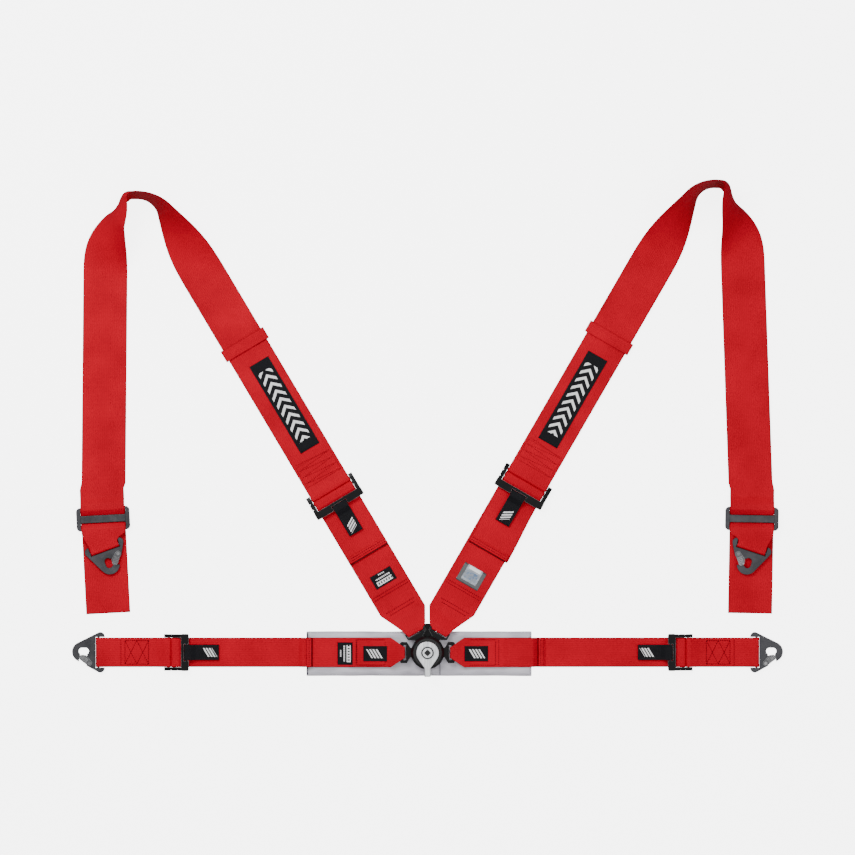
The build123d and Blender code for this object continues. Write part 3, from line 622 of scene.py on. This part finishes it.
def outer_lap_webbing(belt, mat):
    """A loop round the adjuster's fixed bar and the hook's bar, its ends meeting underneath."""
    direction, width, start, _, _, body = BELTS[belt]
    fixed, hook = start + FIXED_BAR, LAP_HOOK
    near, far, top = fixed - 3.3, hook + 3.95, LAYER_1 + TURN
    points = [(500.5, LAYER_1), (far, LAYER_1), (far, top), (hook - 4, top), (hook - 20, LAYER_2),
              (fixed + 20, LAYER_2), (fixed + 4, top), (near, top), (near, LAYER_1), (499.5, LAYER_1)]
    path = side_view(points, (WRAP, WRAP, 6, 6, 6, 6, WRAP, WRAP))
    obj, length = strap(f"{belt}_anchor_webbing", run(direction, path, even(width / 2)), mat)
    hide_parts(f"{belt}_outer_webbing")
    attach(obj, body)


def pull_tab(belt, mat):
    """The black tab, folded round the adjuster's cross bar."""
    direction, start = BELTS[belt].direction, BELTS[belt].start
    points = [(-51, 5.4), (-8, 5.4), (-2, 7.1), (6.9, 7.1), (6.9, 12.9), (-3, 12.9), (-12, 7.3), (-51, 7.3)]
    path = side_view([(s + start, z) for s, z in points], (3, 3, 1.0, 1.0, 4, 4))
    half = 12.9 * MM
    obj, length = strap(f"{belt}_tab", run(direction, path, even(half)), mat, thick=1.4 * MM)
    # The motif is measured from the tab's free end.
    for item in obj.data.uv_layers["strap"].data:
        item.uv = (item.uv[0], length - item.uv[1])
    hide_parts(f"{belt}_pull_tab")
    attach(obj, f"{belt}_adjuster")


# The strap's lean in degrees above and below the slide, and the loop's radius
Side = namedtuple("Side", "hand slide_x lean lower_lean radius")
SIDES = {
    "left": Side(-1, -0.551, 0.5, -3.0, 0.055),
    "right": Side(1, 0.551, 2.0, -1.0, 0.047),
}
SLIDE_Y = 0.227
# The strap rolls over this far before and after the loop's apex, and is on edge just past it.
TWIST_IN, TWIST_OUT = 0.200, 0.170
APEX_ROLL, FULL_ROLL = 82.0, 180.0
INNER_EDGE_RAMP = 0.075
# The strap is cupped past the apex: by how much, how far before the apex it starts and over what length it
# grows, how far past the apex it starts to go and over what length it goes.
CUP = 12 * MM
CUP_START, CUP_RISE, CUP_HELD, CUP_FALL = 0.01, 0.04, 0.04, 0.075
HOOK_ANGLE = 17.0
HOOK_AT = 0.051
HOOK_WIDTH = 50 * MM
# In the slide's windows, this close to its middle, the strap is a little wider and fills them.
WINDOW_REACH, WINDOW_FILL = 21 * MM, 0.33 * MM


def smooth(x):
    x = min(max(x, 0.0), 1.0)
    return x * x * (3 - 2 * x)


def mirrored(v, hand):
    return Vector((-hand * v.x, v.y, v.z))


def facing(angle):
    """The level unit vector at an angle in degrees from +x."""
    return Vector((math.cos(math.radians(angle)), math.sin(math.radians(angle)), 0))


def loop_stations(side, first, last):
    """The shoulder webbing from its flat slanted run, round the half-twisted loop and down the leg.

    It is laid out for the left and mirrored. Each station ends with the way the strap is cupped.
    """
    hand, slide_x, lean, _, radius = SIDES[side]
    slant = LEFT_SLANT if side == "left" else RIGHT_SLANT
    up_run, down_run = heading(-slant), -heading(lean)
    slide = Vector((-abs(slide_x), SLIDE_Y, 0))
    turn = 180 - slant - lean
    reach = (slide.x * down_run.y - slide.y * down_run.x) / (up_run.x * down_run.y - up_run.y * down_run.x)
    corner = up_run * reach
    setback = radius * math.tan(math.radians(turn / 2))
    arc_start = reach - setback
    apex = arc_start + radius * math.radians(90 - slant)
    arc_end = arc_start + radius * math.radians(turn)
    end = arc_end + (corner + down_run * setback - slide).length - last
    centre = corner - up_run * setback - facing(slant) * radius
    out, centres = [], []
    count = int((end - first) / (3.5 * MM))
    for k in range(count + 1):
        s = first + (end - first) * k / count
        if s < arc_start:
            place = up_run * s
        elif s < arc_end:
            place = centre + facing(slant + math.degrees((s - arc_start) / radius)) * radius
        else:
            place = corner + down_run * (setback + s - arc_end)
        past = s - apex
        roll = math.radians(APEX_ROLL * smooth((past + TWIST_IN) / TWIST_IN)
                            + (FULL_ROLL - APEX_ROLL) * smooth(past / TWIST_OUT))
        # On the leg the strap turns about its inner edge, which stays straight.
        inward = SHOULDER_WIDTH / 2 * (1 - abs(math.cos(roll))) * smooth(past / INNER_EDGE_RAMP)
        cup = CUP * smooth((past + CUP_START) / CUP_RISE) * (1 - smooth((past - CUP_HELD) / CUP_FALL))
        centres.append((place + Vector((inward, 0, 0)), roll, cup))
    for k, (place, roll, cup) in enumerate(centres):
        step = centres[min(k + 1, count)][0] - centres[max(k - 1, 0)][0]
        along = step.normalized()
        across = along.cross(UP)
        width_way = across * math.cos(roll) + UP * math.sin(roll)
        place = place + UP * (LAYER_2 * MM + SHOULDER_WIDTH / 2 * math.sin(roll))
        out.append((mirrored(place, hand), mirrored(along, hand), mirrored(width_way, hand),
                    mirrored(across, hand) * cup))
    return out


def bridge(start, end, across_start, across_end, edge_at):
    """Stations on a straight stretch between two others. edge_at(t) gives half its width."""
    stations = []
    for k in range(1, 8):
        t = k / 8
        edge = edge_at(t)
        stations.append((start.lerp(end, t), (end - start).normalized(),
                         across_start.lerp(across_end, smooth(t)).normalized(), -edge, edge))
    return stations


def upper_webbing(side, mat):
    """The long shoulder webbing: adjuster, loop, slide, hook, back under the slide, and the loose tail."""
    belt = f"{side}_shoulder"
    direction, width, start, _, _, body = BELTS[belt]
    hand, slide_x, _, lower_lean, _ = SIDES[side]
    fixed = start + FIXED_BAR
    half = width / 2
    top = LAYER_1 + TURN
    points = [(fixed + 62, LAYER_1), (fixed - 3.3, LAYER_1), (fixed - 3.3, top), (fixed + 4, top),
              (fixed + 20, LAYER_2), (fixed + 90, LAYER_2)]
    stations = run(direction, side_view(points, (WRAP, WRAP, 6, 6)), even(half))
    loop = loop_stations(side, (fixed + 93) * MM, 62 * MM)
    # Width vectors run on from one stretch to the next, so each stretch takes its sign from the last.
    sign = 1 if loop[0][2].dot(stations[-1][2]) > 0 else -1
    for place, along, across, bulge in loop:
        across = across * sign
        cup = along.cross(across).normalized().dot(bulge)
        stations.append((place, along, across, -half, half, cup))

    def filling(s):
        edge = half + (WINDOW_FILL if abs(s) < WINDOW_REACH else 0.0)
        return -edge, edge

    slide = Vector((slide_x, SLIDE_Y, 0))
    down = Vector((hand * math.sin(math.radians(lower_lean)), -math.cos(math.radians(lower_lean)), 0))
    over = SLIDE_BOTTOM + SLIDE_THICKNESS + AIR + HALF_STRAP
    points = [(-50, LAYER_2), (-38, LAYER_2), (-24, over), (-15.5, over), (-6.5, LAYER_3), (6.5, LAYER_3),
              (15.5, over), (22, over)]
    below = run(down, side_view(points, (8, 4, 3, 3, 3, 3)), filling, slide)
    sign = 1 if below[0][2].dot(stations[-1][2]) > 0 else -1
    across_down = below[0][2] * sign
    stations += [(c, t, across_down, lo, hi) for c, t, _, lo, hi in below]

    # Gathered towards the hook, round its bar and back underneath
    angle = math.radians(-hand * HOOK_ANGLE)
    hook_way = Vector((down.x * math.cos(angle) - down.y * math.sin(angle),
                       down.x * math.sin(angle) + down.y * math.cos(angle), 0))
    hook = slide + down * HOOK_AT
    across_hook = UP.cross(hook_way) * sign
    narrow = HOOK_WIDTH / 2 - 0.3 * MM
    a = slide + down * 22 * MM + UP * over * MM
    b = hook - hook_way * 6 * MM + UP * (HOOK_BAR * MM + TURN / 2 * MM)
    stations += bridge(a, b, across_down, across_hook, lambda t: half + (narrow - half) * smooth(t))
    bar_top, bar_bottom = HOOK_BAR + TURN / 2, HOOK_BAR - TURN / 2
    points = [(-6, bar_top), (3.3, bar_top), (3.3, bar_bottom), (-6, bar_bottom)]
    wrap = run(hook_way, side_view(points, (WRAP, WRAP)), even(narrow), hook)
    stations += [(c, t, across_hook, lo, hi) for c, t, _, lo, hi in wrap]
    a, b = wrap[-1][0], slide + down * 10 * MM + UP * (LAYER_2 * MM)
    stations += bridge(a, b, across_hook, across_down,
                       lambda t: narrow + (half - narrow) * smooth((t - 0.5) * 2))
    # A fold under the slide, then the loose tail
    points = [(8, LAYER_2), (-2.5, LAYER_2), (-2.5, LAYER_1), (161, LAYER_1)]
    tail_run = run(down, side_view(points, (1.05, 1.05)), even(half), slide)
    stations += [(c, t, across_down, lo, hi) for c, t, _, lo, hi in tail_run]
    obj, length = strap(f"{belt}_long_webbing", stations, mat)
    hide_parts(f"{belt}_upper_webbing")
    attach(obj, body)


def keeper(side, mat):
    """A band of the same webbing, round the strap, its ends sewn underneath."""
    belt = f"{side}_shoulder"
    direction = BELTS[belt][0]
    low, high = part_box(f"{belt}_keeper")
    middle = (low + high) / 2
    at = Vector((middle[0], middle[1], 0)).dot(direction) * direction
    across = UP.cross(direction)
    reach, under, over, width = 41.2, 0.95, 5.6, KEEPER_HALF_WIDTH
    points = [(0, under), (reach, under), (reach, over), (-reach, over), (-reach, under), (-1, under)]
    # Seen from the belt's end, the path runs across it, and the band's own width lies along it.
    around = run(across, side_view(points, [2.2] * 4), even(width), at)
    stations = [(centre, along, direction, lo, hi) for centre, along, _, lo, hi in around]
    obj, length = strap(f"{belt}_keeper_band", stations, mat, thick=1.3 * MM)
    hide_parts(f"{belt}_keeper")
    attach(obj, f"{side}_keeper")


# ---------------------------------------------------------------- sewn trim

def belt_surface(low, s0, s1, lift):
    """The upper face of a belt near the buckle, from s0 to s1, raised by lift. All in millimetres."""
    z = low + WEB / MM / 2 + lift
    points = [(44, z + 12.1), (48.5, z + 10.5), (72, z + TONGUE_LAYER), (128, z + TONGUE_LAYER), (136, z),
              (175, z)]
    return [p for p in side_view(points, (20, 20, 6, 6)) if s0 * MM <= p.x <= s1 * MM]


def badge(name, direction, path, width, mat, body, offset=0.0):
    """A thin sewn rectangle lying on a strap along the path."""
    obj, _ = strap(name, run(direction, path, even(width / 2, offset)), mat, thick=0.6 * MM)
    # Motifs are measured from the badge's own middle.
    for item in obj.data.uv_layers["strap"].data:
        item.uv = (item.uv[0] - offset, item.uv[1])
    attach(obj, body)


def stitches(name, lines, mat, body, radius=0.45 * MM):
    """Short rounded stitches along straight lines of (start, end) points on a strap's face."""
    stitch, gap, sides = 2.8 * MM, 0.9 * MM, 6
    # A stitch's rings: how far along it, how fat and how high each is
    rings = ((0.0, 0.35, -0.5), (0.2, 0.9, 0.2), (0.5, 1.0, 0.55), (0.8, 0.9, 0.2), (1.0, 0.35, -0.5))
    vertices, faces = [], []
    for start, end in lines:
        way = end - start
        length = way.length
        way.normalize()
        side = way.cross(UP).normalized()
        count = max(1, int((length + gap) / (stitch + gap)))
        for k in range(count):
            a = start + way * (k * (stitch + gap))
            base = len(vertices)
            for t, fat, lift in rings:
                c = a + way * (stitch * t) + UP * (radius * lift)
                for j in range(sides):
                    angle = j * math.pi / 3
                    vertices.append(c + side * (math.cos(angle) * radius * fat)
                                    + UP * (math.sin(angle) * radius * fat))
            for r in range(len(rings) - 1):
                p = base + r * sides
                for j in range(sides):
                    i = (j + 1) % sides
                    faces.append((p + j, p + i, p + sides + i, p + sides + j))
            faces.append(tuple(base + j for j in reversed(range(sides))))
            faces.append(tuple(base + (len(rings) - 1) * sides + j for j in range(sides)))
    obj = new_object(name, vertices, faces, mat)
    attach(obj, body)


def on_belt(direction, s, v, z):
    """A point s millimetres out along a belt, v millimetres across it and z millimetres up."""
    return direction * (s * MM) + UP.cross(direction) * (v * MM) + UP * (z * MM)


def line_set(direction, z, *segments):
    return [(on_belt(direction, s0, v0, z), on_belt(direction, s1, v1, z)) for s0, v0, s1, v1 in segments]


def box_of(s0, s1, v0, v1):
    return [(s0, v0, s1, v0), (s1, v0, s1, v1), (s1, v1, s0, v1), (s0, v1, s0, v0)]


def zigzag(s0, s1, half, pitch):
    """Zigzag stitching across a strap, from s0 to s1."""
    out, s, side = [], s0, -1
    while s < s1:
        out.append((s, side * half, s + pitch, -side * half))
        s += pitch
        side = -side
    return out


# ---------------------------------------------------------------- pad

def pad(mat, binding, seam):
    """The padded sleeve under the buckle: a soft swell, pulled-in sides and ripples by the buckle."""
    low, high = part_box("buckle_pad")
    nx, ny = 150, 34
    length, width = high[0] - low[0], high[1] - low[1]
    base, peak = 0.3 * MM, 5.0 * MM
    vertices, faces = [], []

    def height(u, v):
        rim = min(u, 1 - u) * length
        side = min(v, 1 - v) * width
        swell = min(1.0, rim / (6 * MM)) ** 0.5 * min(1.0, side / (7 * MM)) ** 0.5
        x = low[0] + u * length
        ripple = noise.noise(Vector((x * 26, v * 2.2, 0.3))) * 0.35
        ripple += noise.noise(Vector((x * 70, v * 5, 1.7))) * 0.16
        near = math.exp(-((abs(x) - 0.05) / 0.05) ** 2)
        ripple += near * 0.3 * math.sin(x * 260 + v * 4)
        return base + (peak - base) * swell * max(0.3, min(1.0, 0.88 + 0.14 * ripple * 1.6))

    for layer in (1, 0):
        for i in range(nx + 1):
            for j in range(ny + 1):
                u, v = i / nx, j / ny
                x = low[0] + u * length
                wave = noise.noise(Vector((x * 22, 5.1 if v > 0.5 else 9.3, 0))) * 0.7 * MM
                y = low[1] + v * width + wave * (abs(v - 0.5) * 2) ** 3 * (-1 if v > 0.5 else 1)
                z = height(u, v) if layer else base * 0.6 + 0.05 * MM
                vertices.append(Vector((x, y, max(z, base))))
    side = (nx + 1) * (ny + 1)
    for i in range(nx):
        for j in range(ny):
            a = i * (ny + 1) + j
            b = a + ny + 1
            faces.append((a, b, b + 1, a + 1))
            faces.append((side + a, side + a + 1, side + b + 1, side + b))
    for j in range(ny):
        faces.append((j, j + 1, side + j + 1, side + j))
        k = nx * (ny + 1) + j
        faces.append((k, side + k, side + k + 1, k + 1))
    for i in range(nx):
        a = i * (ny + 1)
        b = a + ny + 1
        faces.append((a, side + a, side + b, b))
        faces.append((a + ny, b + ny, side + b + ny, side + a + ny))
    obj = new_object("buckle_pad_cushion", vertices, faces, mat)
    fix_normals(obj)
    smoother = obj.modifiers.new("smooth", "SUBSURF")
    smoother.levels = smoother.render_levels = 1
    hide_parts("buckle_pad")
    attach(obj, "buckle")

    # Dark binding at the left end, and a sewn seam below the buckle
    for name, x, z, margin, reach, pieces, half, thick, look, slot in (
        ("pad_end_binding", low[0] + 1.1 * MM, 2.6 * MM, 2 * MM, width - 4 * MM, 24, 1.1 * MM, 3.6 * MM,
         binding, "tab_webbing"),
        ("pad_seam", 0.0212, 4.75 * MM, 1.5 * MM, 19 * MM, 9, 0.6 * MM, 0.8 * MM, seam, "pad_fabric"),
    ):
        stations = []
        for k in range(pieces + 1):
            y = low[1] + margin + reach * k / pieces
            stations.append((Vector((x, y, z)), Vector((0, 1, 0)), Vector((1, 0, 0)), -half, half))
        piece, _ = strap(name, stations, look, thick=thick)
        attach(piece, "buckle")


# ---------------------------------------------------------------- build

make_stage()

RED_DEEP, RED_MID, RED_BRIGHT = (0.24, 0.0, 0.006), (0.48, 0.0, 0.013), (0.66, 0.0, 0.020)
red_lap = webbing_material("red_lap_webbing", RED_DEEP, RED_MID, RED_BRIGHT, LAP_WIDTH / 2)
red_shoulder = webbing_material("red_shoulder_webbing", RED_DEEP, RED_MID, RED_BRIGHT, SHOULDER_WIDTH / 2)
red_band = webbing_material("red_band_webbing", RED_DEEP, RED_MID, RED_BRIGHT, KEEPER_HALF_WIDTH)
black_tab = patch_material("black_tab_webbing", tab_motif)
# The seam thread is far darker than the webbing: its own red, darkened as painted shade of the sunken seams.
dark_red_thread_with_painted_shade = thread_material("dark_red_thread_with_painted_shade", (0.04, 0.0, 0.001), (0.13, 0.0, 0.003))
red_soft = thread_material("red_soft_thread", (0.20, 0.0, 0.006), (0.40, 0.0, 0.011))
# Near-black red for the strip at each hem's fold: painted shade.
red_painted_fold_shade = thread_material("red_fold_shade", (0.012, 0.0, 0.0), (0.04, 0.0, 0.001))
black_thread = thread_material("black_thread", (0.006, 0.006, 0.007), (0.04, 0.04, 0.042))
satin = satin_material()
binding = thread_material("pad_binding", (0.03, 0.028, 0.034), (0.09, 0.085, 0.1))
seam = thread_material("pad_seam_thread", (0.1, 0.095, 0.12), (0.22, 0.21, 0.25))
black_metal = metal_material("black_powder_coat", (0.003, 0.003, 0.0035), (0.010, 0.010, 0.011), 0.3, 0.0,
                             coat=0.04, shine=0.07, wear_and_painted_highlight=(0.30, 0.30, 0.31))
black_housing = metal_material("black_housing", (0.003, 0.003, 0.004), (0.01, 0.01, 0.011), 0.22, 0.0,
                               1500, 0.04, 0.12)
dark_steel = metal_material("dark_steel", (0.035, 0.035, 0.039), (0.10, 0.10, 0.107), 0.42, 0.75, 1100, 0.3)
gate_steel = metal_material("gate_steel", (0.07, 0.07, 0.074), (0.16, 0.16, 0.165), 0.4, 0.75, 1100, 0.3,
                            wear_and_painted_highlight=(0.5, 0.5, 0.51))
lever_metal = brushed_material("brushed_lever", (0.34, 0.35, 0.37), (0.84, 0.85, 0.86), (900, 40, 40))
steel = brushed_material("plain_steel", (0.10, 0.10, 0.105), (0.24, 0.24, 0.245), (60, 60, 700))

NODE_MATERIALS = {
    "black_metal": black_metal,
    "black_housing": black_housing,
    "dark_steel": dark_steel,
    "lever_metal": lever_metal,
    "steel": steel,
}
for entry in frame["record"]["subparts"]:
    chosen = gate_steel if entry["node"].endswith("_gate") else NODE_MATERIALS.get(entry["material_slot"])
    if chosen is not None:
        node = frame["nodes"][entry["node"]]
        node.data.materials.clear()
        node.data.materials.append(chosen)
        if chosen in (black_metal, dark_steel, gate_steel, lever_metal):
            # Softened edges that catch the light
            weld = node.modifiers.new("weld", "WELD")
            weld.merge_threshold = 0.01 * MM
            bevel = node.modifiers.new("bevel", "BEVEL")
            bevel.width = 0.35 * MM
            bevel.segments = 2
            bevel.limit_method = "ANGLE"
            bevel.angle_limit = math.radians(38)
            bevel.harden_normals = True

pad(satin, binding, seam)
for belt in BELTS:
    strap_red = red_lap if "lap" in belt else red_shoulder
    inner_webbing(belt, strap_red)
    hem(belt, strap_red, red_painted_fold_shade)
    pull_tab(belt, black_tab)
for belt in ("left_lap", "right_lap"):
    outer_lap_webbing(belt, red_lap)
for side in SIDES:
    upper_webbing(side, red_shoulder)
    keeper(side, red_band)

badge_chevrons = patch_material("badge_chevrons", chevrons)
badge_small = patch_material("badge_small", lap_motif)
label_dark = patch_material("label_dark", label_lines)
label_silver = sleeve_material()

# Long badges on the upper shoulder webbing
for side, start, offset in (("left", 400, -5.6), ("right", 410, 1.0)):
    direction, body = BELTS[f"{side}_shoulder"].direction, f"{side}_shoulder_belt"
    length, height, edge = 171 * MM, 4.45 * MM, 17.3
    path = rounded([(start * MM, height), (start * MM + length, height)], [])
    badge(f"{side}_long_badge", direction, path, 37 * MM, badge_chevrons, body, offset=offset * MM)
    stitches(f"{side}_long_badge_stitching",
             line_set(direction, 4.9, *box_of(start + 1.5, start + 169.5, offset - edge, offset + edge)),
             black_thread, body, radius=0.22 * MM)

# Small badges and labels on the lap belts
for belt, start, offset in (("left_lap", 67, 2.1), ("right_lap", 62.5, -2.1)):
    direction, body = BELTS[belt].direction, BELTS[belt].body
    badge(f"{belt}_badge", direction, belt_surface(ON_PAD, start, start + 42, 0.35), 26 * MM, badge_small,
          body, offset=offset * MM)
    stitches(f"{belt}_badge_stitching",
             line_set(direction, LAP_SEAM_Z, *box_of(start + 5, start + 53, -21.5, 21.5)), dark_red_thread_with_painted_shade, body)
badge("left_lap_label", BELTS["left_lap"].direction, belt_surface(ON_PAD, 126, 153, 0.4), 38 * MM, label_dark,
      "buckle", offset=2.0 * MM)

# Labels on the lower shoulder webbing
badge("left_shoulder_label", BELTS["left_shoulder"].direction, belt_surface(LAYER_1, 135, 161, 0.4), 40 * MM,
      label_dark, "left_shoulder_belt")
badge("right_shoulder_label", BELTS["right_shoulder"].direction, belt_surface(LAYER_1, 129, 168, 0.4),
      42 * MM, label_silver, "right_shoulder_belt")

# Seams
for belt, (direction, width, start, tail, pad_end, body) in BELTS.items():
    half = width / MM / 2 - 3
    hem_lines = line_set(direction, tail_height(belt) + 2.7, (tail + 4, -half, tail + 4, half),
                         (tail + 8, -half, tail + 8, half))
    stitches(f"{belt}_hem_stitching", hem_lines, dark_red_thread_with_painted_shade, body)
    stitches(f"{belt}_tab_stitching",
             line_set(direction, TAB_SEAM_Z, *box_of(start - 49, start - 18, -10.5, 10.5)),
             black_thread, f"{belt}_adjuster", radius=0.25 * MM)
    if pad_end is None:
        rows = line_set(direction, SEAM_Z, (86, -25, 86, 25), (92, -28, 92, 28), (120, -33, 120, 33),
                        (125, -33, 125, 33))
        stitches(f"{belt}_tongue_stitching", rows, dark_red_thread_with_painted_shade, body)
        fixed = start + FIXED_BAR
        stitches(f"{belt}_zigzag", line_set(direction, SEAM_Z, *zigzag(fixed + 23, fixed + 60, 31, 6)),
                 red_soft, body)
        stitches(f"{belt}_zigzag_frame",
                 line_set(direction, SEAM_Z, *box_of(fixed + 22, fixed + 61, -33, 33)), red_soft, body)
    else:
        stitches(f"{belt}_tongue_seam", line_set(direction, LAP_SEAM_Z, (121, -22, 121, 22)), dark_red_thread_with_painted_shade,
                 body)
        # A box with a cross in each half, and a row beside it
        first, middle, last = 474, 494, 514
        cross = line_set(direction, SEAM_Z, *box_of(first, last, -20, 20),
                         (first, -20, middle, 20), (middle, 20, last, -20),
                         (first, 20, middle, -20), (middle, -20, last, 20), (first + 47, -22, first + 47, 22))
        stitches(f"{belt}_anchor_stitching", cross, dark_red_thread_with_painted_shade, body)

# The lever cap's plain badge: a silver disc with a dark ring and a diamond
BADGE_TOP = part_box("lever_cap")[1][2] + 0.35 * MM


def turned(name, profile, mat, sides=72):
    """A ring or disc turned round the buckle's axis from a closed outline of (radius, height)."""
    vertices, faces = [], []
    for k in range(sides):
        angle = 2 * math.pi * k / sides
        vertices += [Vector((r * math.cos(angle), r * math.sin(angle), z)) for r, z in profile]
    count = len(profile)
    for k in range(sides):
        a, b = count * k, count * ((k + 1) % sides)
        for j in range(count):
            i = (j + 1) % count
            faces.append((a + j, b + j, b + i, a + i))
    obj = new_object(name, vertices, faces, mat)
    fix_normals(obj)
    for polygon in obj.data.polygons:
        polygon.use_smooth = False
    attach(obj, "release")
    return obj


HUB, DISC, RING_INNER, RING_OUTER = 0.05 * MM, 10.6 * MM, 8.3 * MM, 10.3 * MM
badge_disc = turned("lever_badge", [(HUB, BADGE_TOP - 0.5 * MM), (DISC, BADGE_TOP - 0.5 * MM),
                                    (DISC, BADGE_TOP - 0.15 * MM), (DISC - 0.2 * MM, BADGE_TOP),
                                    (HUB, BADGE_TOP)], lever_metal)
ring_low, ring_high = BADGE_TOP - 0.1 * MM, BADGE_TOP + 0.1 * MM
badge_ring = turned("lever_badge_ring", [(RING_INNER, ring_low), (RING_OUTER, ring_low),
                                         (RING_OUTER, ring_high), (RING_INNER, ring_high)], black_housing)
half = 6.2 * MM
corners = [(half, 0), (0, half), (-half, 0), (0, -half)]
vertices = [Vector((x, y, BADGE_TOP + z * MM)) for z in (-0.1, 0.12) for x, y in corners]
faces = [(3, 2, 1, 0), (4, 5, 6, 7)] + [(k, (k + 1) % 4, 4 + (k + 1) % 4, 4 + k) for k in range(4)]
diamond = new_object("lever_badge_diamond", vertices, faces, black_housing)
for polygon in diamond.data.polygons:
    polygon.use_smooth = False
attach(diamond, "release")
